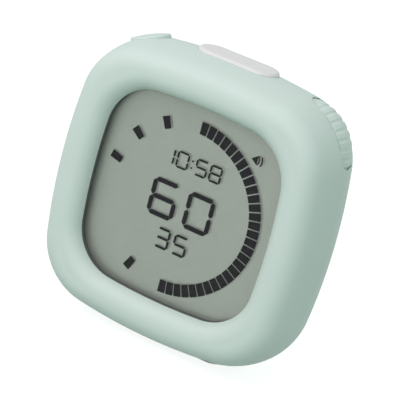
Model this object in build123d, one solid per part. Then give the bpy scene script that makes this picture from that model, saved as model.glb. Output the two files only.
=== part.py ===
from build123d import *
import os
from math import atan2, cos, degrees, radians, sin, sqrt

os.makedirs("parts", exist_ok=True)

# A desk study timer: a soft square case with a segment display, two push buttons, a corner
# thumb wheel and a battery bay. It is drawn with x to the right, y into the depth from the
# front crest and z up from the middle of the case, and set down on its feet at the end.

# Case, in millimetres and degrees
half_size = 40.0            # middle of the case to the widest point of a side
corner_radius = 19.3
side_radius = 165.0         # slow bow of each side
front_roll = 5.5            # roll from the front face to the side
front_side_radius = 33.0    # bow of the side towards the front
front_tilt = 18.0           # where the roll hands over to the bow
rear_side_radius = 22.0     # bow of the side towards the rear
rear_tilt = 40.0
rear_roll = 12.0            # roll from the bow to the flat back
wall = 2.2
split_behind_widest = 11.5  # parting plane, behind the widest line
lip_length = 2.0            # tongue of the rear shell inside the front shell
lip_thick = 1.0
lip_gap = 0.15

# Display window and display
bezel_width = 12.3          # side of the case to the window
window_corner = 13.5
window_side_radius = 167.0
window_roll = 4.6           # roll from the front face into the window
bezel_thick = 3.6
gasket_thick = 1.2
gasket_gap = 0.15           # window line to the gasket, and to the seal
gasket_width = 1.5          # and how far it reaches under the bezel
glass_overlap = 2.0         # glass beyond the window on each side
glass_thick = 0.5
glass_cut = 5.5             # cut corners of the glass
contact_ledge = 2.2         # front glass below the rear glass
cell_gap = 0.1              # liquid crystal layer
reflector_thick = 0.2
holder_wall = 1.35
holder_rim_gap = 0.1
holder_depth = 1.5
holder_cut = 7.0
holder_bar = 5.6            # width of the holder's bars behind the glass
glass_clearance = 0.25
zebra_length = 44.0         # rubber connector between the glass and the board
zebra_play = 0.3
zebra_clearance = 0.15

# Picture on the display
ring_margin = 3.15          # window edge to the ring
picture_middle = (-0.36, -0.27)
ring_shift = (-0.41, -0.57)
ring_width = 3.48
ring_steps = 60
ring_separator = 0.36
minutes_left = 30           # lit from the top, clockwise
marks_lit = (34.9, 48.1, 52.2, 56.2)    # single marks, in steps of the ring
clock_height = 4.75
clock_width = 3.75
clock_stroke = 0.54
clock_pitch = 4.4
clock_centre = 11.78
colon_dot = 0.55
big_height = 10.6
big_width = 8.35
big_stroke = 1.3
big_pitch = 11.2
big_centre = -0.25
small_height = 5.8
small_width = 4.3
small_stroke = 0.66
small_pitch = 5.5
small_centre = -10.75
segment_gap = 0.07
horn_size = 1.8
horn_reach = 1.7            # outside the ring
horn_angle = 49.5

# Board and what is soldered to it
board_thick = 1.2
ear_reach = 2.3
ear_width = 6.0
ear_height = 15.0           # of each ear above or below the middle
screw_radius = 0.95
screw_clearance = 0.05
screw_head_radius = 1.9
screw_head_height = 1.4
boss_wall = 1.35
boss_gap = 0.2
chip_z = -6.0
chip_radius = 5.0
chip_height = 1.6
crystal_radius = 1.05
crystal_length = 6.0
capacitor_length = 1.6
capacitor_width = 0.8
buzzer_radius = 6.0
buzzer_height = 4.0
buzzer_x = -14.0
buzzer_z = 12.0
sound_hole = 0.6
sound_pitch = 2.4

# Buttons and their switches
start_depth = 15.6          # middle of the long button, behind the front crest
start_length = 24.0
start_width = 9.8
start_proud = 0.55
start_edge = 0.9
mode_depth = 15.0
mode_diameter = 11.1
mode_proud = 0.65
mode_crown = 30.0           # radius of the round button's domed top
mode_edge = 0.5
mode_tilt = 23.2            # the round button leans to the left, round the corner
button_gap = 0.12
flange_width = 0.9
flange_drop = 4.6           # below the case surface
flange_thick = 1.0
stem_radius = 2.0
plunger_drop = 9.0
plunger_radius = 1.7
plunger_show = 1.2
button_travel = 0.8
switch_size = 6.0
switch_height = 3.6
switch_axis = 3.7           # plunger axis behind the board
switch_reach = 7.2

# Thumb wheel
wheel_radius = 14.45        # at the crest of the rim
wheel_fall = 0.55           # crest to the edges of the rim
wheel_slope = 2.8           # width of the sloping rim on each side
wheel_thick = 7.0
wheel_proud = 0.85
wheel_ribs = 34
rib_depth = 0.22
rib_groove = 1.2            # radius of each groove
wheel_hub = 4.5
wheel_rim = 2.8
wheel_web = 2.5
wheel_gap = 0.22
slot_length = 21.0
axle_radius = 1.5
axle_fit = 0.02
axle_running = 0.05
axle_reach = 4.4            # axle behind the wheel
encoder_size = 11.0
encoder_height = 2.8
encoder_corner = 1.0
rotor_radius = 3.0
rotor_gap = 0.08
rotor_lift = 0.3
rotor_show = 0.8
bearing_wall = 1.7

# Batteries, bay and door
cell_radius = 5.25
cell_length = 43.7
cell_nub_radius = 1.9
cell_nub = 0.8
cell_space = 0.7
cell_clearance = 0.3
bay_centre = -8.0
bay_wall = 1.2
bay_play = 0.75
contact_play = 0.15
contact_thick = 0.4
contact_arch = 1.6
contact_width = 5.0
contact_span = 6.0
tab_width = 3.0
tab_reach = 1.0
lead_radius = 0.55
door_thick = 2.6
door_overlap = 2.0
door_gap = 0.3
door_rest = 0.2
door_barrel = 1.8           # radius of the rounded hinge edge
door_pin_radius = 0.8
door_pin_length = 1.2
door_pin_gap = 0.06
collar_width = 2.1
nail_radius = 6.0
nail_depth = 0.9

# Case screws, and the feet
screw_left_x = 28.5
screw_left_z = 20.0
screw_right_x = 30.0
screw_right_z = 7.5
screw_low_x = 17.0
screw_low_z = -29.5
screw_length = 10.0
screw_well_gap = 0.2
screw_floor = 3.1           # of the well under the screw's head
well_wall = 0.9
lip_room = 0.5              # screw boss to the tip of the rear shell's tongue
web_thick = 1.6
pad_length = 10.8
pad_width = 12.0
pad_corner = 4.0
pad_spread = 14.0
pad_depth = 16.0
pad_proud = 0.5

# Places that follow from the sizes above
front_turn = radians(front_tilt)
rear_turn = radians(rear_tilt)
widest_depth = front_side_radius * sin(front_turn) + front_roll * (1 - sin(front_turn))
crest_inset = front_side_radius * (1 - cos(front_turn)) + front_roll * cos(front_turn)
depth = widest_depth + rear_side_radius * sin(rear_turn) + rear_roll * (1 - sin(rear_turn))
back_inset = rear_side_radius * (1 - cos(rear_turn)) + rear_roll * cos(rear_turn)
case_split = widest_depth + split_behind_widest

window_half = half_size - bezel_width
glass_front = bezel_thick + gasket_thick
layer_front = glass_front + glass_thick
layer_back = layer_front + cell_gap
rear_glass_back = layer_back + glass_thick
reflector_back = rear_glass_back + reflector_thick
board_front = reflector_back + holder_depth
board_back = board_front + board_thick
glass_half = window_half + glass_overlap
glass_low = -glass_half - contact_ledge
holder_half = glass_half + glass_clearance + holder_wall
holder_low = glass_low - glass_clearance - holder_wall
boss_radius = screw_radius + boss_wall
ear_x = holder_half + boss_gap + boss_radius

wheel_front = board_back + encoder_height + rotor_show
wheel_back = wheel_front + wheel_thick
crest_front = wheel_front + wheel_slope
crest_back = wheel_back - wheel_slope
bearing_front = wheel_back + wheel_gap
axle_back = wheel_back + axle_reach

door_inner = depth - door_thick
cell_depth = door_inner - cell_clearance - cell_radius
bay_floor = cell_depth - cell_radius - cell_clearance
cell_pitch = 2 * cell_radius + cell_space
cell_heights = (bay_centre + cell_pitch / 2, bay_centre - cell_pitch / 2)
cell_end = (cell_length + cell_nub) / 2
bay_half_x = cell_end + contact_play + contact_arch + contact_thick
bay_half_z = cell_pitch / 2 + cell_radius + bay_play
door_half_x = bay_half_x + door_overlap
door_half_z = bay_half_z + door_overlap
door_ledge = door_inner - door_rest
pin_depth = depth - door_barrel
pin_height = bay_centre - door_half_z + door_barrel
boss_end = case_split - lip_length - lip_room
boss_front = board_back + screw_head_height + boss_gap
screw_seat = boss_end + screw_floor
well_radius = screw_head_radius + screw_well_gap
pilot_radius = screw_radius + screw_clearance
contact_half = cell_radius - cell_space


def corner_place(half, corner, side):
    """Centre of a corner arc along both axes, and the angle where it meets the side arc."""
    shift = half - side
    reach = side - corner
    centre = (shift + sqrt(2 * reach**2 - shift**2)) / 2
    return centre, degrees(atan2(centre, centre - shift))


def outline(half, corner, side):
    """Soft square of four side arcs and four corner arcs, as a face in x and z."""
    centre, turn = corner_place(half, corner, side)
    edges = []
    for quarter in range(4):
        about = Rot(0, 0, 90 * quarter)
        edges.append(about * CenterArc((half - side, 0), side, -turn, 2 * turn))
        edges.append(about * CenterArc((centre, centre), corner, turn, 90 - 2 * turn))
    return make_face(edges)


def plate(half, low, high, cut):
    """Rectangle with cut corners, as a face in x and z."""
    right = [(half - cut, low), (half, low + cut), (half, high - cut), (half - cut, high)]
    left = [(-x, z) for x, z in reversed(right)]
    return make_face(Polyline(*right, *left, close=True))


def slab(sketch, front, back):
    """A face drawn in x and z, made solid from one depth to another."""
    return extrude(Plane.XZ.offset(-front) * sketch, front - back)


def rod(x, z, radius, front, back):
    """Round bar along the depth."""
    return slab(Pos(x, z) * Circle(radius), front, back)


def bar(y, z, radius, left, right):
    """Round bar from left to right."""
    return extrude(Plane.YZ.offset(left) * Pos(y, z) * Circle(radius), right - left)


def block(left, right, front, back, low, high):
    """Box between six faces."""
    middle = Pos((left + right) / 2, (low + high) / 2)
    return slab(middle * Rectangle(right - left, high - low), front, back)


def bay_block(half_x, half_z, front, back):
    """Box around the middle of the battery bay."""
    return slab(Pos(0, bay_centre) * Rectangle(2 * half_x, 2 * half_z), front, back)


def between(front, back):
    """Everything between two depths."""
    return slab(Rectangle(4 * half_size, 4 * half_size), front, back)


def case_section(inset, core):
    """Section of the case rim, inset by a wall, with its outermost line at x = 0."""
    roll = CenterArc((-crest_inset, front_roll), front_roll - inset, -90, 90 - front_tilt)
    front_middle = (-front_side_radius, widest_depth)
    rear_middle = (-rear_side_radius, widest_depth)
    front_bow = CenterArc(front_middle, front_side_radius - inset, -front_tilt, front_tilt)
    rear_bow = CenterArc(rear_middle, rear_side_radius - inset, 0, rear_tilt)
    back_roll = CenterArc((-back_inset, depth - rear_roll), rear_roll - inset, rear_tilt, 90 - rear_tilt)
    inner = Polyline(back_roll @ 1, (-core, depth - inset), (-core, inset), roll @ 0)
    return make_face([roll, front_bow, rear_bow, back_roll, *inner.edges()])


def case_form(inset):
    """Closed pillow form of the case, inset evenly by a wall."""
    core = (back_inset + corner_radius) / 2
    section = case_section(inset, core)
    centre, turn = corner_place(half_size, corner_radius, side_radius)
    spin = Axis((0, 0, 0), (0, -1, 0))
    side = Rot(0, turn, 0) * revolve(Pos(side_radius, 0) * section, spin, 2 * turn)
    corner = Rot(0, -turn, 0) * revolve(Pos(corner_radius, 0) * section, spin, 90 - 2 * turn)
    quarter = Pos(half_size - side_radius, 0, 0) * side + Pos(centre, 0, centre) * corner
    middle = outline(half_size - core, corner_radius - core, side_radius - core)
    return slab(middle, inset, depth - inset) + [Rot(0, 90 * turns, 0) * quarter for turns in range(4)]


outer_form = case_form(0)
inner_form = case_form(wall)
mid_wall_form = case_form(wall / 2)

corner_centre = corner_place(half_size, corner_radius, side_radius)[0]
corner_reach = sqrt(2) * corner_centre + corner_radius
wheel_reach = corner_reach + wheel_proud - wheel_radius
wheel_centre = wheel_reach / sqrt(2)
screw_places = (
    (-screw_left_x, screw_left_z, 180),
    (screw_right_x, screw_right_z, 0),
    (-screw_low_x, screw_low_z, -90),
    (screw_low_x, screw_low_z, -90),
)
ear_places = [(x, z) for x in (-ear_x, ear_x) for z in (-ear_height, ear_height)]

# Each button is drawn at the case surface with z along its own normal
lean = radians(mode_tilt)
mode_x = -corner_centre - corner_radius * sin(lean)
mode_z = corner_centre + corner_radius * cos(lean)
start_place = Pos(0, start_depth, half_size)
mode_place = Pos(mode_x, mode_depth, mode_z) * Rot(0, -mode_tilt, 0)
start_board = board_back - start_depth
mode_board = board_back - mode_depth


def window_line(grow):
    """Outline of the window, grown evenly."""
    return outline(window_half + grow, window_corner + grow, window_side_radius + grow)


def start_face(grow):
    return SlotOverall(start_length + 2 * grow, start_width + 2 * grow)


def mode_face(grow):
    return Circle(mode_diameter / 2 + grow)


def rise(sketch, low, high):
    """A face drawn at a button's place, made solid along its normal."""
    return extrude(Pos(0, 0, low) * sketch, high - low)


def wheel_slot():
    """Cut for the wheel through the corner of the case."""
    low = wheel_reach + wheel_hub
    high = corner_reach + wheel_radius
    foot = Pos(0, (wheel_front + wheel_back) / 2, low)
    face = SlotOverall(slot_length, wheel_thick + 2 * wheel_gap)
    slot = Rot(0, 45, 0) * foot * extrude(face, high - low)
    crest = wheel_radius + wheel_gap
    edge = crest - wheel_fall
    front = wheel_front - wheel_gap
    side = [(0, front), (edge, front), (crest, crest_front), (crest, crest_back), (edge, bearing_front)]
    relief = revolve(make_face(Polyline(*side, (0, bearing_front), close=True)), Axis.Y)
    return slot + Pos(wheel_centre, 0, wheel_centre) * relief


def screw_boss(x, z, outward):
    """Boss for a case screw, on a web to the nearest side."""
    web = Pos(x, z) * Rot(0, 0, outward) * Pos(half_size / 2, 0) * Rectangle(half_size, web_thick)
    post = rod(x, z, boss_radius, boss_front, boss_end) + slab(web, boss_front, boss_end)
    return post & mid_wall_form


def make_front_shell():
    shell = outer_form & between(-1, case_split)
    shell -= slab(window_line(0), -1, bezel_thick + window_roll)
    front_face = shell.faces().sort_by(Axis.Y)[0]
    shell = shell.fillet(window_roll, front_face.inner_wires()[0].edges())
    shell -= inner_form & between(bezel_thick, depth)
    for x, z in ear_places:
        shell += rod(x, z, boss_radius, bezel_thick - wall / 4, board_front) & mid_wall_form
    for x, z, outward in screw_places:
        shell += screw_boss(x, z, outward)
    for x, z in ear_places:
        shell -= rod(x, z, pilot_radius, glass_front, board_front)
    for x, z, outward in screw_places:
        shell -= rod(x, z, pilot_radius, screw_seat - screw_length - boss_gap, boss_end)
    shell -= start_place * rise(start_face(button_gap), -flange_drop, flange_drop)
    shell -= mode_place * rise(mode_face(button_gap), -flange_drop, flange_drop)
    return shell - wheel_slot()


def make_tongue():
    """Lip of the rear shell that locates it inside the front shell."""
    root = mid_wall_form & between(case_split, case_split + lip_thick)
    lip = case_form(wall + lip_gap) & between(case_split - lip_length, case_split)
    return root + lip - case_form(wall + lip_gap + lip_thick)


def make_bay():
    """Tub for the cells, and a collar around the door."""
    around = door_gap + collar_width
    collar_front = pin_depth - door_barrel - door_gap - bay_wall
    tub = bay_block(bay_half_x + bay_wall, bay_half_z + bay_wall, bay_floor - bay_wall, depth)
    tub += bay_block(door_half_x + around, door_half_z + around, collar_front, depth)
    return tub & mid_wall_form


def bay_cuts():
    """Room for the cells, the door, its rounded edge and its pins."""
    opening_x = door_half_x + door_gap
    pin_end = opening_x + door_pin_length
    cuts = bay_block(bay_half_x, bay_half_z, bay_floor, depth)
    cuts += bay_block(opening_x, door_half_z + door_gap, door_ledge, depth + wall)
    cuts += bar(pin_depth, pin_height, door_barrel + door_gap, -opening_x, opening_x)
    cuts += bar(pin_depth, pin_height, door_pin_radius + door_pin_gap, -pin_end, pin_end)
    for z in cell_heights:
        cuts += tab_solid(z, door_rest)
    return cuts


def sound_holes():
    middle = Pos(buzzer_x, buzzer_z)
    spots = [middle] + [middle * Rot(0, 0, 60 * step) * Pos(sound_pitch, 0) for step in range(6)]
    return [slab(spot * Circle(sound_hole), depth - 2 * wall, depth + wall) for spot in spots]


def make_rear_shell():
    shell = (outer_form & between(case_split, depth + wall)) - inner_form
    shell += make_tongue()
    shell += make_bay()
    bearing = axle_radius + axle_running
    posts = rod(wheel_centre, wheel_centre, bearing + bearing_wall, bearing_front, depth)
    for x, z, outward in screw_places:
        posts += rod(x, z, well_radius + well_wall, boss_end, depth)
    shell += posts & mid_wall_form
    shell -= bay_cuts()
    shell -= rod(wheel_centre, wheel_centre, bearing, bearing_front, axle_back + wheel_gap)
    for x, z, outward in screw_places:
        shell -= rod(x, z, screw_radius + screw_well_gap, boss_end, screw_seat)
        shell -= rod(x, z, well_radius, screw_seat, depth + wall)
    return shell - sound_holes()


def make_battery_door():
    """Door with a rounded hinge edge, a pin at each end and a hollow for a fingernail."""
    top = bay_centre + door_half_z
    leaf = block(-door_half_x, door_half_x, door_inner, depth, pin_height, top)
    leaf += bar(pin_depth, pin_height, door_barrel, -door_half_x, door_half_x)
    leaf = leaf & outer_form
    pin_end = door_half_x + door_pin_length
    leaf += bar(pin_depth, pin_height, door_pin_radius, -pin_end, pin_end)
    return leaf - Pos(0, depth + nail_radius - nail_depth, top) * Sphere(nail_radius)


def make_foot_pads():
    pads = []
    for x in (-pad_spread, pad_spread):
        sole = RectangleRounded(pad_width, pad_length, pad_corner)
        pad = extrude(Pos(x, pad_depth, -half_size - pad_proud) * sole, corner_radius / 2)
        pads.append((pad - outer_form).solid())
    return Compound(pads)


def screw(x, z, seat, length):
    """Pan head screw that enters from behind, with a cross recess."""
    body = rod(x, z, screw_radius, seat - length, seat)
    body += rod(x, z, screw_head_radius, seat, seat + screw_head_height)
    slot = screw_head_radius * 1.2
    cross = Rectangle(slot, slot / 4) + Rectangle(slot / 4, slot)
    body -= slab(Pos(x, z) * cross, seat + screw_head_height / 2, seat + screw_head_height)
    return body.solid()


def make_case_screws():
    return Compound([screw(x, z, screw_seat, screw_length) for x, z, outward in screw_places])


def make_board_screws():
    length = board_back - glass_front - boss_gap
    return Compound([screw(x, z, board_back, length) for x, z in ear_places])


def make_gasket():
    return slab(window_line(gasket_width) - window_line(gasket_gap), bezel_thick, glass_front)


def make_seal():
    """Dark frame between the glasses, from their edge to the window."""
    frame = plate(glass_half, -glass_half, glass_half, glass_cut)
    return slab(frame - window_line(gasket_gap), layer_front, layer_back)


def zebra_face(grow):
    thick = contact_ledge - 2 * zebra_play
    return Pos(0, -glass_half - contact_ledge / 2) * Rectangle(zebra_length + 2 * grow, thick + 2 * grow)


def make_holder():
    """Tray that carries the glass, with a slot for the connector strip."""
    outside = plate(holder_half, holder_low, holder_half, holder_cut)
    tray = slab(outside, glass_front + holder_rim_gap, board_front)
    grown = glass_half + glass_clearance
    tray -= slab(plate(grown, glass_low - glass_clearance, grown, glass_cut), glass_front, reflector_back)
    opening = 2 * (holder_half - holder_bar)
    tray -= slab(RectangleRounded(opening, opening, holder_bar), reflector_back, board_front)
    return tray - slab(zebra_face(zebra_clearance), reflector_back, board_front)


def make_board():
    face = plate(holder_half, holder_low, holder_half, holder_cut)
    for z in (-ear_height, ear_height):
        face += Pos(0, z) * Rectangle(2 * (ear_x + ear_reach), ear_width)
    for x, z in ear_places:
        face -= Pos(x, z) * Circle(screw_radius + screw_well_gap)
    return slab(face, board_front, board_back)


def make_chip():
    dome = rod(0, chip_z, chip_radius, board_back, board_back + chip_height)
    return dome.fillet(0.7 * chip_height, dome.edges().sort_by(Axis.Y)[-1:])


def make_crystal():
    z = chip_z + 2 * chip_radius
    return bar(board_back + crystal_radius, z, crystal_radius, -crystal_length / 2, crystal_length / 2)


def make_capacitors():
    """Chip capacitors in two columns beside the controller."""
    body = slab(Rectangle(capacitor_length, capacitor_width), board_back, board_back + capacitor_width)
    rows = (chip_z - chip_radius, chip_z, chip_z + chip_radius)
    places = [Pos(x, 0, z) for x in (-2 * chip_radius, 2 * chip_radius) for z in rows]
    return Compound([(place * body).solid() for place in places])


def make_buzzer():
    case = rod(buzzer_x, buzzer_z, buzzer_radius, board_back, board_back + buzzer_height)
    case = case.fillet(buzzer_height / 8, case.edges().sort_by(Axis.Y)[-1:])
    return case - rod(buzzer_x, buzzer_z, buzzer_radius / 5, board_back + buzzer_height / 2,
                      board_back + 2 * buzzer_height)


def make_button(face_of, proud, board, edge, crown=None):
    """Cap with its flange under the case and its stem down to the switch, at the button's place."""
    flange_low = -flange_drop - flange_thick
    cap = rise(face_of(0), flange_low, proud)
    if crown:
        cap = cap & (Pos(0, 0, proud - crown) * Rot(90, 0, 0) * Sphere(crown))
    cap = cap.fillet(edge, cap.faces().sort_by(Axis.Z)[-1].edges())
    cap += rise(face_of(flange_width), flange_low, -flange_drop)
    return cap + rise(Pos(0, board + switch_axis) * Circle(stem_radius), -plunger_drop, flange_low)


def make_switch(board):
    """Push switch on its side on the board, at the button's place."""
    top = -plunger_drop - plunger_show
    body = Pos(0, board + switch_reach / 2) * Rectangle(switch_size, switch_reach)
    well = Pos(0, board + switch_axis) * Circle(plunger_radius + button_gap / 2)
    case = rise(body, top - switch_height, top)
    return case - rise(well, top - plunger_show - button_travel - button_gap, top)


def make_plunger(board):
    bottom = -plunger_drop - 2 * plunger_show
    return rise(Pos(0, board + switch_axis) * Circle(plunger_radius), bottom, -plunger_drop)


def make_wheel():
    """Ribbed wheel whose rim falls off to both sides."""
    rim = Circle(wheel_radius)
    spots = PolarLocations(wheel_radius + rib_groove - rib_depth, wheel_ribs)
    rim -= [spot * Circle(rib_groove) for spot in spots]
    edge = scale(rim, by=1 - wheel_fall / wheel_radius)
    wheel = slab(rim, crest_front, crest_back)
    for low, high in ((wheel_front, crest_front), (wheel_back, crest_back)):
        ends = (Plane.XZ.offset(-low) * edge, Plane.XZ.offset(-high) * rim)
        wheel += loft([end.face() for end in ends], ruled=True)
    pocket = Circle(wheel_radius - wheel_rim) - Circle(wheel_hub)
    wheel -= slab(pocket, wheel_front + wheel_web, wheel_back)
    wheel -= rod(0, 0, axle_radius + axle_fit, wheel_front, wheel_back)
    return Pos(wheel_centre, 0, wheel_centre) * wheel


def make_axle():
    return rod(wheel_centre, wheel_centre, axle_radius, board_back + 2 * rotor_lift, axle_back)


def make_encoder_housing():
    face = RectangleRounded(encoder_size, encoder_size, encoder_corner) - Circle(rotor_radius + rotor_gap)
    return slab(Pos(wheel_centre, wheel_centre) * face, board_back, board_back + encoder_height)


def make_encoder_rotor():
    rotor = rod(wheel_centre, wheel_centre, rotor_radius, board_back + rotor_lift, wheel_front)
    return rotor - rod(wheel_centre, wheel_centre, axle_radius + axle_fit, board_back, wheel_front)


def make_cells():
    cells = []
    for z, way in zip(cell_heights, (1, -1)):
        body = Rot(0, 90 * way, 0) * Pos(0, 0, -cell_nub / 2) * Cylinder(cell_radius, cell_length)
        nub = Rot(0, 90 * way, 0) * Pos(0, 0, cell_length / 2) * Cylinder(cell_nub_radius, cell_nub)
        cells.append((Pos(0, cell_depth, z) * (body + nub)).solid())
    return Compound(cells)


def contact_sheet(low, high):
    """Sheet metal on the right wall of the bay."""
    inner = bay_half_x - contact_thick
    return block(inner, bay_half_x, bay_floor, cell_depth + contact_span / 2, low, high)


def contact_leaf(z):
    """Arched leaf on the sheet, against the end of a cell."""
    inner = bay_half_x - contact_thick
    arch = ((contact_span / 2) ** 2 + contact_arch**2) / (2 * contact_arch)
    ring = Circle(arch) - Circle(arch - contact_thick)
    low = z - contact_width / 2
    tip = inner - contact_arch
    leaf = extrude(Pos(tip + arch, cell_depth, low) * ring, contact_width)
    return leaf & block(tip, bay_half_x, cell_depth - arch, cell_depth + arch, low, z + contact_width)


def tab_solid(z, grow):
    """Solder tab that passes through the floor of the bay."""
    half = tab_width / 2 + grow
    front = bay_floor - bay_wall - tab_reach
    inner = bay_half_x - contact_thick - grow
    return block(inner, bay_half_x + grow, front, bay_floor + tab_reach, z - half, z + half)


def make_terminals():
    terminals = []
    for z in cell_heights:
        terminal = contact_sheet(z - contact_half, z + contact_half) + contact_leaf(z) + tab_solid(z, 0)
        terminals.append(terminal.solid())
    return Compound(terminals)


def make_bridge():
    high, low = cell_heights
    strip = contact_sheet(low - contact_half, high + contact_half) + contact_leaf(high) + contact_leaf(low)
    return mirror(strip, Plane.YZ)


def make_leads():
    x = bay_half_x - contact_thick / 2
    tab_end = bay_floor - bay_wall - tab_reach
    return Compound([rod(x, z, lead_radius, board_back, tab_end).solid() for z in cell_heights])


# Which of the seven strokes each numeral lights: top, middle, bottom, then the uprights
strokes_of = {
    "0": ("top", "bottom", "left high", "left low", "right high", "right low"),
    "1": ("right high", "right low"),
    "3": ("top", "middle", "bottom", "right high", "right low"),
    "5": ("top", "middle", "bottom", "left high", "right low"),
    "6": ("top", "middle", "bottom", "left high", "left low", "right low"),
    "8": ("top", "middle", "bottom", "left high", "left low", "right high", "right low"),
}


def stroke(start, end, width):
    """One straight stroke with pointed ends."""
    along = (Vector(*end) - Vector(*start)).normalized()
    across = Vector(-along.Y, along.X) * (width / 2)
    first = Vector(*start) + along * segment_gap
    last = Vector(*end) - along * segment_gap
    point = along * (width / 2)
    return make_face(Polyline(first, first + point + across, last - point + across, last,
                              last - point - across, first + point - across, close=True))


def numeral(sign, x, z, width, height, thick):
    """Faces of one seven-stroke numeral around its middle."""
    right = width / 2 - thick / 2
    top = height / 2 - thick / 2
    ends = {
        "top": ((x - right, z + top), (x + right, z + top)),
        "middle": ((x - right, z), (x + right, z)),
        "bottom": ((x - right, z - top), (x + right, z - top)),
        "left high": ((x - right, z), (x - right, z + top)),
        "left low": ((x - right, z - top), (x - right, z)),
        "right high": ((x + right, z), (x + right, z + top)),
        "right low": ((x + right, z - top), (x + right, z)),
    }
    return [stroke(*ends[name], thick) for name in strokes_of[sign]]


def ring_mark(step, outer):
    """One block of the minute ring, counted clockwise from the top."""
    inner = outer - ring_width
    middle = radians(90 - 360 / ring_steps * (step - 0.5))
    half = radians(180 / ring_steps)
    points = []
    for radius, side in ((inner, half), (outer, half), (outer, -half), (inner, -half)):
        angle = middle + side - ring_separator / 2 / radius * (1 if side > 0 else -1)
        points.append((radius * cos(angle), radius * sin(angle)))
    return make_face(Polyline(*points, close=True))


def horn_faces(outer):
    """Small sounder sign outside the ring: a horn and two waves."""
    reach = outer + horn_reach
    place = Pos(reach * cos(radians(horn_angle)), reach * sin(radians(horn_angle)))
    half = 0.72 * horn_size
    point = (-horn_size / 2, 0)
    faces = [place * make_face(Polyline(point, (horn_size / 2, half), (horn_size / 2, -half), close=True))]
    for radius in (horn_size, 1.5 * horn_size):
        wave = Circle(radius) - Circle(radius - 0.18 * horn_size)
        wave &= Pos(radius, 0) * Rectangle(0.7 * radius, 2 * half)
        faces.append(place * Pos(-0.1 * horn_size, 0) * wave)
    return faces


def make_segments():
    outer = window_half - ring_margin
    lit = (*range(1, minutes_left + 1), *marks_lit)
    faces = [Pos(*ring_shift) * ring_mark(step, outer) for step in lit]
    for sign, place in zip("1058", (-1.67, -0.67, 0.67, 1.67)):
        faces += numeral(sign, place * clock_pitch, clock_centre, clock_width, clock_height, clock_stroke)
    for side in (-1, 1):
        faces.append(Pos(0, clock_centre + side * clock_height / 5) * Circle(colon_dot / 2))
    for sign, side in zip("60", (-0.5, 0.5)):
        faces += numeral(sign, side * big_pitch, big_centre, big_width, big_height, big_stroke)
    for sign, side in zip("35", (-0.5, 0.5)):
        faces += numeral(sign, side * small_pitch, small_centre, small_width, small_height, small_stroke)
    faces += horn_faces(outer)
    middle = Pos(*picture_middle)
    return Compound([slab(middle * face, layer_front, layer_back).solid() for face in faces])


rear_glass_face = plate(glass_half, -glass_half, glass_half, glass_cut)
pieces = {
    "front_shell": make_front_shell(),
    "rear_shell": make_rear_shell(),
    "battery_door": make_battery_door(),
    "foot_pads": make_foot_pads(),
    "case_screws": make_case_screws(),
    "display_gasket": make_gasket(),
    "lcd_front_glass": slab(plate(glass_half, glass_low, glass_half, glass_cut), glass_front, layer_front),
    "lcd_segments": make_segments(),
    "lcd_seal": make_seal(),
    "lcd_rear_glass": slab(rear_glass_face, layer_back, rear_glass_back),
    "lcd_reflector": slab(rear_glass_face, rear_glass_back, reflector_back),
    "lcd_holder": make_holder(),
    "zebra_strip": slab(zebra_face(0), layer_front, board_front),
    "main_board": make_board(),
    "board_screws": make_board_screws(),
    "controller_chip": make_chip(),
    "quartz_crystal": make_crystal(),
    "board_capacitors": make_capacitors(),
    "buzzer": make_buzzer(),
    "start_button": start_place * make_button(start_face, start_proud, start_board, start_edge),
    "start_switch": start_place * make_switch(start_board),
    "start_plunger": start_place * make_plunger(start_board),
    "mode_button": mode_place * make_button(mode_face, mode_proud, mode_board, mode_edge, mode_crown),
    "mode_switch": mode_place * make_switch(mode_board),
    "mode_plunger": mode_place * make_plunger(mode_board),
    "thumb_wheel": make_wheel(),
    "wheel_axle": make_axle(),
    "encoder_housing": make_encoder_housing(),
    "encoder_rotor": make_encoder_rotor(),
    "battery_cells": make_cells(),
    "terminal_contacts": make_terminals(),
    "bridge_contact": make_bridge(),
    "battery_leads": make_leads(),
}

# The finished timer stands on its feet, with the origin under the middle of its depth
stand = Pos(0, -depth / 2, half_size + pad_proud)
for name, piece in pieces.items():
    export_step(stand * piece, f"parts/{name}.step")

wheel_axis = (wheel_centre, -depth / 2, half_size + pad_proud + wheel_centre)
door_axis = (0, pin_depth - depth / 2, pin_height + half_size + pad_proud)
print("depth", round(depth, 3), "wheel axis", wheel_axis, "door axis", door_axis)
print("mode button", mode_x, mode_depth - depth / 2, mode_z + half_size + pad_proud)
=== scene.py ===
import math

import bpy
from mathutils import Matrix, Vector

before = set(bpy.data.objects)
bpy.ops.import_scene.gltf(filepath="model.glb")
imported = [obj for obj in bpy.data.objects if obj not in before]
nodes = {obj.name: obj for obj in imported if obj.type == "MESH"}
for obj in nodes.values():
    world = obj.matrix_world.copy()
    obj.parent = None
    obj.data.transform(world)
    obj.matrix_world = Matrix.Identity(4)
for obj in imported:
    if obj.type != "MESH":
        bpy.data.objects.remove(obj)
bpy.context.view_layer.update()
mm = 0.001
print("frame loaded:", len(nodes), "pieces")


def linear(hexColour):    # sRGB hex to the linear colour that shaders read, by the standard curve
    shares = [int(hexColour[place:place + 2], 16) / 255 for place in (1, 3, 5)]
    return [c / 12.92 if c <= 0.04045 else ((c + 0.055) / 1.055) ** 2.4 for c in shares] + [1.0]


def addNode(tree, kind, settings, links={}):    # one node, its settings, and what feeds its sockets
    node = tree.nodes.new(kind)
    for name, value in settings.items():
        if isinstance(name, str) and hasattr(node, name):
            setattr(node, name, value)
        else:
            node.inputs[name].default_value = value
    for name, socket in links.items():
        tree.links.new(socket, node.inputs[name])
    return node


def newMaterial(name):    # an empty material, its nodes, and places on the piece in metres
    material = bpy.data.materials.new(name)
    material.use_nodes = True
    tree = material.node_tree
    tree.nodes.clear()
    place = addNode(tree, "ShaderNodeTexCoord", {}).outputs["Object"]
    return material, tree, place


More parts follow.
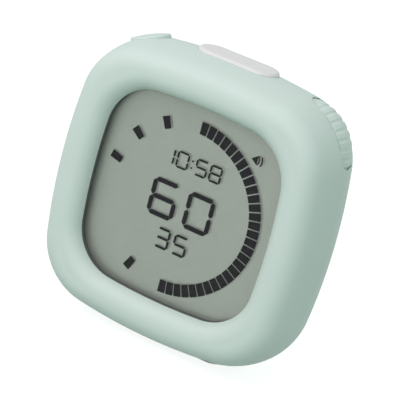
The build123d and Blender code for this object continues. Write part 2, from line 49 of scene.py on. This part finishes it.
mixShare, mixFirst, mixSecond, mixResult = 0, 6, 7, 2    # the Mix node's sockets for colours
evenSockets = {"ior": "IOR", "metal": "Metallic", "alpha": "Alpha", "gloss": "Specular IOR Level"}


# Each colour after the first covers those before it by its share. The gloss follows one pattern and
# the bump another, and what is the same all over goes on the shader's own sockets.
def shadeWith(tree, look, shares, patch, relief, links={}):
    base, *covers = [linear(colour) for colour in look["colours"]]
    colour = None
    for cover, share in zip(covers, shares):
        under = {} if colour is None else {mixFirst: colour}
        colour = addNode(tree, "ShaderNodeMix",
                         {"data_type": "RGBA", mixFirst: base, mixSecond: cover},
                         {mixShare: share, **under}).outputs[mixResult]
    least, most = look["rough"]
    rough = addNode(tree, "ShaderNodeMapRange", {"To Min": least, "To Max": most},
                    {"Value": patch}).outputs[0]
    bump = addNode(tree, "ShaderNodeBump",
                   {"Strength": look["bump"], "Distance": look["bumpMm"] * mm},
                   {"Height": relief}).outputs[0]
    even = {socket: look[name] for name, socket in evenSockets.items() if name in look}
    shader = addNode(tree, "ShaderNodeBsdfPrincipled", even,
                     {"Base Color": colour, "Roughness": rough, "Normal": bump, **links})
    addNode(tree, "ShaderNodeOutputMaterial", {}, {"Surface": shader.outputs[0]})


# ABS and other moulded or pressed stuff: an even colour with a very slight cloudiness from the
# pigment, and the grain that a spark-eroded mould leaves, which breaks every highlight into a soft
# sheen. The grain is about 0.1 mm on the real mould and is drawn coarser here, so that it shows.
cloudDetail = 3.0


def mouldedPlastic(name, look):
    material, tree, place = newMaterial(name)
    cloud = addNode(tree, "ShaderNodeTexNoise",
                    {"Scale": 1 / (look["cloudMm"] * mm), "Detail": cloudDetail},
                    {"Vector": place}).outputs["Fac"]
    grain = addNode(tree, "ShaderNodeTexNoise", {"Scale": 1 / (look["grainMm"] * mm)},
                    {"Vector": place}).outputs["Fac"]
    shadeWith(tree, look, [cloud], cloud, grain)
    return material


# mint ABS of the case: chalky and even, with no sharp highlight
caseLook = {"colours": ("#d2e3db", "#d6e6de"), "cloudMm": 14, "grainMm": 0.5,
            "bump": 0.12, "bumpMm": 0.125, "rough": (0.5, 0.6), "ior": 1.53}
# mint ABS from a finer mould: the ribs catch slightly brighter lines
wheelLook = {"colours": ("#d2e3db", "#d7e7df"), "cloudMm": 5, "grainMm": 0.4,
             "bump": 0.1, "bumpMm": 0.1, "rough": (0.45, 0.55), "ior": 1.53}
# white ABS: a little smoother, so that its rounded edge shows a soft pale line
keyLook = {"colours": ("#e6e5e4", "#e9e8e7"), "cloudMm": 6, "grainMm": 0.4,
           "bump": 0.08, "bumpMm": 0.1, "rough": (0.45, 0.55), "ior": 1.53}
# white styrene: a shade warmer and duller than the key
trayLook = {"colours": ("#d8d7d0", "#dddcd6"), "cloudMm": 8, "grainMm": 0.4,
            "bump": 0.1, "bumpMm": 0.1, "rough": (0.45, 0.55), "ior": 1.59}
# black epoxy: nearly black, with a satin gleam
resinLook = {"colours": ("#1b1b1c", "#232324"), "cloudMm": 3, "grainMm": 0.3,
             "bump": 0.1, "bumpMm": 0.075, "rough": (0.35, 0.45), "ior": 1.55}
# silicone: dull and dry, with hardly a highlight
footLook = {"colours": ("#b9c7c0", "#c0cdc6"), "cloudMm": 4, "grainMm": 0.6,
            "bump": 0.2, "bumpMm": 0.15, "rough": (0.75, 0.85), "ior": 1.41}
# die-cut foam: grey and full of small pores, with no gleam
foamLook = {"colours": ("#5e625f", "#6c706d"), "cloudMm": 1, "grainMm": 0.3,
            "bump": 0.4, "bumpMm": 0.075, "rough": (0.85, 0.95), "ior": 1.4}
# printed epoxy: an even grey line round the glass
sealLook = {"colours": ("#5a5d5b", "#626562"), "cloudMm": 2, "grainMm": 0.3,
            "bump": 0.1, "bumpMm": 0.075, "rough": (0.55, 0.65), "ior": 1.55}
# fired ceramic: a speckled tan with a faint gleam
ceramicLook = {"colours": ("#8a6a4a", "#9b7a57"), "cloudMm": 0.6, "grainMm": 0.2,
               "bump": 0.2, "bumpMm": 0.05, "rough": (0.45, 0.55), "ior": 1.7}

# Soda-lime glass under a matt polariser film: nearly clear, with a faint grey veil that the film's
# own grain makes uneven
glassLook = {"colours": ("#b2b9b1", "#c0c7bf"), "alpha": 0.006, "grainMm": 0.3,
             "bump": 0.05, "bumpMm": 0.02, "rough": (0.3, 0.4), "ior": 1.5}
# Reflective polariser behind the cell: a grey-green film with a very fine metallic grain, which
# sends much of the light on as a wide, soft mirror. The flakes are some 0.02 mm wide and are drawn
# coarser, so that they show.
filmLook = {"colours": ("#989f95", "#a1a79e"), "metal": 0.5, "grainMm": 0.35,
            "bump": 0.05, "bumpMm": 0.02, "rough": (0.35, 0.5)}


def polariserSheet(name, look):
    material, tree, place = newMaterial(name)
    grain = addNode(tree, "ShaderNodeTexNoise", {"Scale": 1 / (look["grainMm"] * mm)},
                    {"Vector": place}).outputs["Fac"]
    shadeWith(tree, look, [grain], grain, grain)
    return material


# Switched liquid crystal: it takes nearly all light, with a slight violet cast and a fine slanting
# grain from the rubbed glass, whose 0.01 mm lines are drawn coarser, so that they show
segmentLook = {"colours": ("#272629", "#2f2d32"), "rubMm": 0.6, "rubTurn": 45,
               "rubStretch": (1, 1, 0.2), "bump": 0.05, "bumpMm": 0.01, "rough": (0.5, 0.7),
               "gloss": 0.05}


def liquidCrystal(name, look):
    material, tree, place = newMaterial(name)
    turn = (0, math.radians(look["rubTurn"]), 0)
    rubbed = addNode(tree, "ShaderNodeMapping", {"Rotation": turn, "Scale": look["rubStretch"]},
                     {"Vector": place}).outputs[0]
    lines = addNode(tree, "ShaderNodeTexNoise", {"Scale": 1 / (look["rubMm"] * mm)},
                    {"Vector": rubbed}).outputs["Fac"]
    shadeWith(tree, look, [lines], lines, lines)
    return material


print("looks of the case and the display set")

# Metals, turned, rolled or drawn: fine lines along one way stretch the highlight. The lines are
# about 0.05 mm apart and are drawn coarser, so that they show.
lineDetail = 4.0


def workedMetal(name, look):
    material, tree, place = newMaterial(name)
    stretched = addNode(tree, "ShaderNodeMapping", {"Scale": look["stretch"]},
                        {"Vector": place}).outputs[0]
    lines = addNode(tree, "ShaderNodeTexNoise",
                    {"Scale": 1 / (look["lineMm"] * mm), "Detail": lineDetail},
                    {"Vector": stretched}).outputs["Fac"]
    shadeWith(tree, look, [lines], lines, lines)
    return material


# zinc-plated steel, turned: a cool grey with fine bright streaks along the shank
screwLook = {"colours": ("#a9a9a8", "#c3c3c1"), "metal": 1.0, "lineMm": 0.3,
             "stretch": (1, 0.1, 1), "bump": 0.15, "bumpMm": 0.03, "rough": (0.22, 0.38)}
# nickel-plated strip, rolled: slightly yellow, with upright streaks
contactLook = {"colours": ("#b7b3a8", "#cfccc2"), "metal": 1.0, "lineMm": 0.4,
               "stretch": (1, 1, 0.1), "bump": 0.15, "bumpMm": 0.04, "rough": (0.2, 0.36)}
# nickel can, drawn: the brightest of the three, with streaks along it
canLook = {"colours": ("#b4b4b2", "#cacac8"), "metal": 1.0, "lineMm": 0.25,
           "stretch": (0.1, 1, 1), "bump": 0.15, "bumpMm": 0.025, "rough": (0.17, 0.33)}

# Alkaline cell: a steel can in a printed shrink sleeve, dark with a copper band at the plus end,
# and bare steel at both ends. The upper cell's plus end is at +X, the lower one's at -X.
cellLook = {"colours": ("#3a4047", "#b87a45", "#b8b8b5"), "bandMm": 12.0, "endMm": 21.2,
            "middleMm": 32.5, "wrinkleMm": 3.0, "wrinkleDetail": 3.0, "bump": 0.1, "bumpMm": 0.05,
            "rough": (0.22, 0.36)}


def cellSleeve(name, look):
    material, tree, place = newMaterial(name)
    spot = addNode(tree, "ShaderNodeSeparateXYZ", {}, {0: place}).outputs
    height = addNode(tree, "ShaderNodeMath", {"operation": "SUBTRACT", 1: look["middleMm"] * mm},
                     {0: spot["Z"]}).outputs[0]
    way = addNode(tree, "ShaderNodeMath", {"operation": "SIGN"}, {0: height}).outputs[0]
    along = addNode(tree, "ShaderNodeMath", {"operation": "MULTIPLY"},
                    {0: spot["X"], 1: way}).outputs[0]
    reach = addNode(tree, "ShaderNodeMath", {"operation": "ABSOLUTE"}, {0: along}).outputs[0]
    inBand = addNode(tree, "ShaderNodeMath", {"operation": "GREATER_THAN", 1: look["bandMm"] * mm},
                     {0: along}).outputs[0]
    bare = addNode(tree, "ShaderNodeMath", {"operation": "GREATER_THAN", 1: look["endMm"] * mm},
                   {0: reach}).outputs[0]
    wrinkle = addNode(tree, "ShaderNodeTexNoise",
                      {"Scale": 1 / (look["wrinkleMm"] * mm), "Detail": look["wrinkleDetail"]},
                      {"Vector": place}).outputs["Fac"]
    shadeWith(tree, look, [inBand, bare], wrinkle, wrinkle, {"Metallic": bare})
    return material


# Glass-fibre board under green solder mask: the copper tracks show as paler, raised lines
boardLook = {"colours": ("#1d5a38", "#2f7a4f"), "fieldMm": 9.0, "uneven": 0.8, "linesInField": 7.0,
             "trackShare": 0.55, "bump": 0.4, "bumpMm": 0.035, "rough": (0.3, 0.22), "ior": 1.55}


def solderMask(name, look):
    material, tree, place = newMaterial(name)
    field = addNode(tree, "ShaderNodeTexVoronoi",
                    {"distance": "CHEBYCHEV", "Scale": 1 / (look["fieldMm"] * mm),
                     "Randomness": look["uneven"]}, {"Vector": place}).outputs["Distance"]
    lines = addNode(tree, "ShaderNodeMath", {"operation": "MULTIPLY", 1: look["linesInField"]},
                    {0: field}).outputs[0]
    part = addNode(tree, "ShaderNodeMath", {"operation": "FRACT"}, {0: lines}).outputs[0]
    track = addNode(tree, "ShaderNodeMath", {"operation": "GREATER_THAN", 1: look["trackShare"]},
                    {0: part}).outputs[0]
    shadeWith(tree, look, [track], track, track)
    return material


# Layered silicone connector: thin conducting sheets between insulating ones, seen as fine stripes.
# Real sheets are 0.1 mm apart and are drawn coarser, so that they show.
zebraLook = {"colours": ("#c9a9a6", "#2b2a2b"), "pitchMm": 0.5, "bump": 0.2, "bumpMm": 0.03,
             "rough": (0.6, 0.75), "ior": 1.41}
waveRadians = 20    # what the wave texture runs through in a metre at scale 1


def layeredSilicone(name, look):
    material, tree, place = newMaterial(name)
    sheets = addNode(tree, "ShaderNodeTexWave",
                     {"bands_direction": "X",
                      "Scale": math.tau / (waveRadians * look["pitchMm"] * mm)},
                     {"Vector": place}).outputs["Fac"]
    shadeWith(tree, look, [sheets], sheets, sheets)
    return material


# Soft vinyl on the battery leads, drawn through a die: red on the upper lead, black on the lower,
# both with a smooth, waxy gleam
leadLook = {"colours": ("#202020", "#a3211c"), "middleMm": 32.5, "grainMm": 0.4, "bump": 0.1,
            "bumpMm": 0.03, "rough": (0.35, 0.45), "ior": 1.53}


def leadVinyl(name, look):
    material, tree, place = newMaterial(name)
    spot = addNode(tree, "ShaderNodeSeparateXYZ", {}, {0: place}).outputs
    upper = addNode(tree, "ShaderNodeMath", {"operation": "GREATER_THAN", 1: look["middleMm"] * mm},
                    {0: spot["Z"]}).outputs[0]
    grain = addNode(tree, "ShaderNodeTexNoise", {"Scale": 1 / (look["grainMm"] * mm)},
                    {"Vector": place}).outputs["Fac"]
    shadeWith(tree, look, [upper], grain, grain)
    return material


print("looks of the metals, the cells and the board set")

glassNames = ["lcd_front_glass", "lcd_rear_glass"]
finishes = {
    mouldedPlastic("mouldedMintAbs", caseLook): ["front_shell", "rear_shell", "battery_door",
                                                 "mode_button"],
    mouldedPlastic("mouldedWheelAbs", wheelLook): ["thumb_wheel"],
    mouldedPlastic("mouldedWhiteAbs", keyLook): ["start_button"],
    mouldedPlastic("mouldedWhiteStyrene", trayLook): ["lcd_holder", "start_plunger", "mode_plunger",
                                                      "encoder_rotor"],
    mouldedPlastic("mouldedBlackEpoxy", resinLook): ["controller_chip", "buzzer", "start_switch",
                                                     "mode_switch", "encoder_housing"],
    mouldedPlastic("mouldedSilicone", footLook): ["foot_pads"],
    mouldedPlastic("dieCutFoam", foamLook): ["display_gasket"],
    mouldedPlastic("printedSealEpoxy", sealLook): ["lcd_seal"],
    mouldedPlastic("firedChipCeramic", ceramicLook): ["board_capacitors"],
    polariserSheet("laminatedPolariserGlass", glassLook): glassNames,
    polariserSheet("coatedReflectorFilm", filmLook): ["lcd_reflector"],
    liquidCrystal("rubbedLiquidCrystal", segmentLook): ["lcd_segments"],
    workedMetal("turnedZincSteel", screwLook): ["case_screws", "board_screws", "wheel_axle"],
    workedMetal("rolledNickelStrip", contactLook): ["terminal_contacts", "bridge_contact"],
    workedMetal("drawnNickelCan", canLook): ["quartz_crystal"],
    cellSleeve("printedShrinkSleeve", cellLook): ["battery_cells"],
    solderMask("printedSolderMask", boardLook): ["main_board"],
    layeredSilicone("layeredSilicone", zebraLook): ["zebra_strip"],
    leadVinyl("extrudedVinyl", leadLook): ["battery_leads"],
}
print("materials made:", len(finishes))

smoothAngle = math.radians(30)    # steeper edges stay sharp
for material, names in finishes.items():
    for name in names:
        mesh = nodes[name].data
        mesh.materials.clear()
        mesh.materials.append(material)
        mesh.shade_smooth()
        mesh.set_sharp_from_angle(angle=smoothAngle)

# The thin layers of the display shade nothing, so that light gets between the segments to the film,
# and the glass keeps a hair of air to the layers that touch it
airGap = 0.02 * mm
for name in glassNames + ["display_gasket", "lcd_seal", "lcd_segments"]:
    nodes[name].visible_shadow = False
    nodes[name].visible_diffuse = False
for name in glassNames:
    shrink = nodes[name].modifiers.new("airGap", "DISPLACE")
    shrink.mid_level = 0.0
    shrink.strength = -airGap
print("finishes put on")


def seenRays(tree):    # 1 for what the eye sees, straight, in gloss or through glass
    rays = addNode(tree, "ShaderNodeLightPath", {}).outputs
    direct = addNode(tree, "ShaderNodeMath", {"operation": "MAXIMUM"},
                     {0: rays["Is Camera Ray"], 1: rays["Is Glossy Ray"]}).outputs[0]
    return addNode(tree, "ShaderNodeMath", {"operation": "MAXIMUM"},
                   {0: direct, 1: rays["Is Transmission Ray"]}).outputs[0]


# A painted table that the eye sees as white and that keeps the shadow of what stands on it. The
# light that it sends back up is dimmer and a little green. The roller leaves the paint slightly
# cloudy and dimpled. The width is in metres.
tableLook = {"width": 8.0, "dropMm": 0.05, "colours": ("#9dafa6", "#a1b1aa"), "cloudMm": 60,
             "dimpleMm": 2.0, "bump": 0.1, "bumpMm": 0.1, "glow": 0.85}


def tableTop(look):
    half = look["width"] / 2
    level = -look["dropMm"] * mm    # a hair under the feet, so that the two faces stay apart
    corners = [(-half, -half, level), (half, -half, level),
               (half, half, level), (-half, half, level)]
    mesh = bpy.data.meshes.new("tableTop")
    mesh.from_pydata(corners, [], [(0, 1, 2, 3)])
    material, tree, place = newMaterial("rolledWhitePaint")
    cloud = addNode(tree, "ShaderNodeTexNoise", {"Scale": 1 / (look["cloudMm"] * mm)},
                    {"Vector": place}).outputs["Fac"]
    dimples = addNode(tree, "ShaderNodeTexNoise", {"Scale": 1 / (look["dimpleMm"] * mm)},
                      {"Vector": place}).outputs["Fac"]
    first, second = [linear(colour) for colour in look["colours"]]
    colour = addNode(tree, "ShaderNodeMix",
                     {"data_type": "RGBA", mixFirst: first, mixSecond: second},
                     {mixShare: cloud}).outputs[mixResult]
    bump = addNode(tree, "ShaderNodeBump",
                   {"Strength": look["bump"], "Distance": look["bumpMm"] * mm},
                   {"Height": dimples}).outputs[0]
    paint = addNode(tree, "ShaderNodeBsdfDiffuse", {}, {"Color": colour, "Normal": bump})
    share = addNode(tree, "ShaderNodeMath", {"operation": "MULTIPLY", 1: look["glow"]},
                    {0: seenRays(tree)}).outputs[0]
    glow = addNode(tree, "ShaderNodeEmission", {}, {"Strength": share})
    both = addNode(tree, "ShaderNodeAddShader", {}, {0: paint.outputs[0], 1: glow.outputs[0]})
    addNode(tree, "ShaderNodeOutputMaterial", {}, {"Surface": both.outputs[0]})
    mesh.materials.append(material)
    table = bpy.data.objects.new("tableTop", mesh)
    bpy.context.scene.collection.objects.link(table)


# Soft studio light: an even surround that the eye sees as plain white, a soft box close by at the
# upper left and a wide fill from the front. Places and widths are in metres.
skyLook = {"colour": "#f5fffd", "strength": 0.617, "seenColour": "#ffffff", "seenStrength": 1.0}
lampLooks = [
    {"name": "softBox", "place": (-0.28, -0.42, 0.5), "width": 0.45, "watts": 1.43,
     "colour": "#ffe9f2"},
    {"name": "frontFill", "place": (0.1, -1.5, 0.35), "width": 1.2, "watts": 5.5,
     "colour": "#fcfbff"},
]


def studioLight(middle):
    world = bpy.data.worlds.new("studio")
    bpy.context.scene.world = world
    world.use_nodes = True
    tree = world.node_tree
    tree.nodes.clear()
    around = addNode(tree, "ShaderNodeBackground",
                     {"Color": linear(skyLook["colour"]), "Strength": skyLook["strength"]})
    seen = addNode(tree, "ShaderNodeBackground",
                   {"Color": linear(skyLook["seenColour"]), "Strength": skyLook["seenStrength"]})
    either = addNode(tree, "ShaderNodeMixShader", {},
                     {0: seenRays(tree), 1: around.outputs[0], 2: seen.outputs[0]})
    addNode(tree, "ShaderNodeOutputWorld", {}, {"Surface": either.outputs[0]})
    for look in lampLooks:
        light = bpy.data.lights.new(look["name"], "AREA")
        light.shape = "DISK"
        light.size = look["width"]
        light.energy = look["watts"]
        light.color = linear(look["colour"])[:3]
        lamp = bpy.data.objects.new(look["name"], light)
        lamp.location = look["place"]
        lamp.rotation_mode = "QUATERNION"
        lamp.rotation_quaternion = (middle - lamp.location).to_track_quat("-Z", "Y")
        bpy.context.scene.collection.objects.link(lamp)


# The camera stands to the right and above, and is turned about its own axis. Angles are in degrees,
# the distance and the target in metres, the picture's width and the shift in pixels.
viewLook = {"azimuth": 25.376, "elevation": 17.937, "roll": 15.355, "distance": 0.61616,
            "pixelsPerMm": 3.703, "pictureWidth": 400, "shift": (2.73, -1.38),
            "target": (0.0, 0.000287, 0.0405)}


def photoCamera(look):
    azimuth = math.radians(look["azimuth"])
    elevation = math.radians(look["elevation"])
    roll = math.radians(look["roll"])
    back = Vector((math.sin(azimuth) * math.cos(elevation),
                   -math.cos(azimuth) * math.cos(elevation), math.sin(elevation)))
    level = Vector((math.cos(azimuth), math.sin(azimuth), 0.0))
    upward = back.cross(level)
    right = level * math.cos(roll) + upward * math.sin(roll)
    top = upward * math.cos(roll) - level * math.sin(roll)
    data = bpy.data.cameras.new("photoCamera")
    pixels = look["pictureWidth"]
    data.lens = look["pixelsPerMm"] * look["distance"] / mm / pixels * data.sensor_width
    data.shift_x = -look["shift"][0] / pixels
    data.shift_y = look["shift"][1] / pixels
    camera = bpy.data.objects.new("photoCamera", data)
    spot = Vector(look["target"]) + back * look["distance"]
    turn = Matrix((right, top, back)).transposed().to_4x4()
    camera.matrix_world = Matrix.Translation(spot) @ turn
    bpy.context.scene.collection.objects.link(camera)
    bpy.context.scene.camera = camera


tableTop(tableLook)
studioLight(Vector(viewLook["target"]))
photoCamera(viewLook)
bpy.context.scene.view_settings.view_transform = "Standard"
print("table, light and camera set")
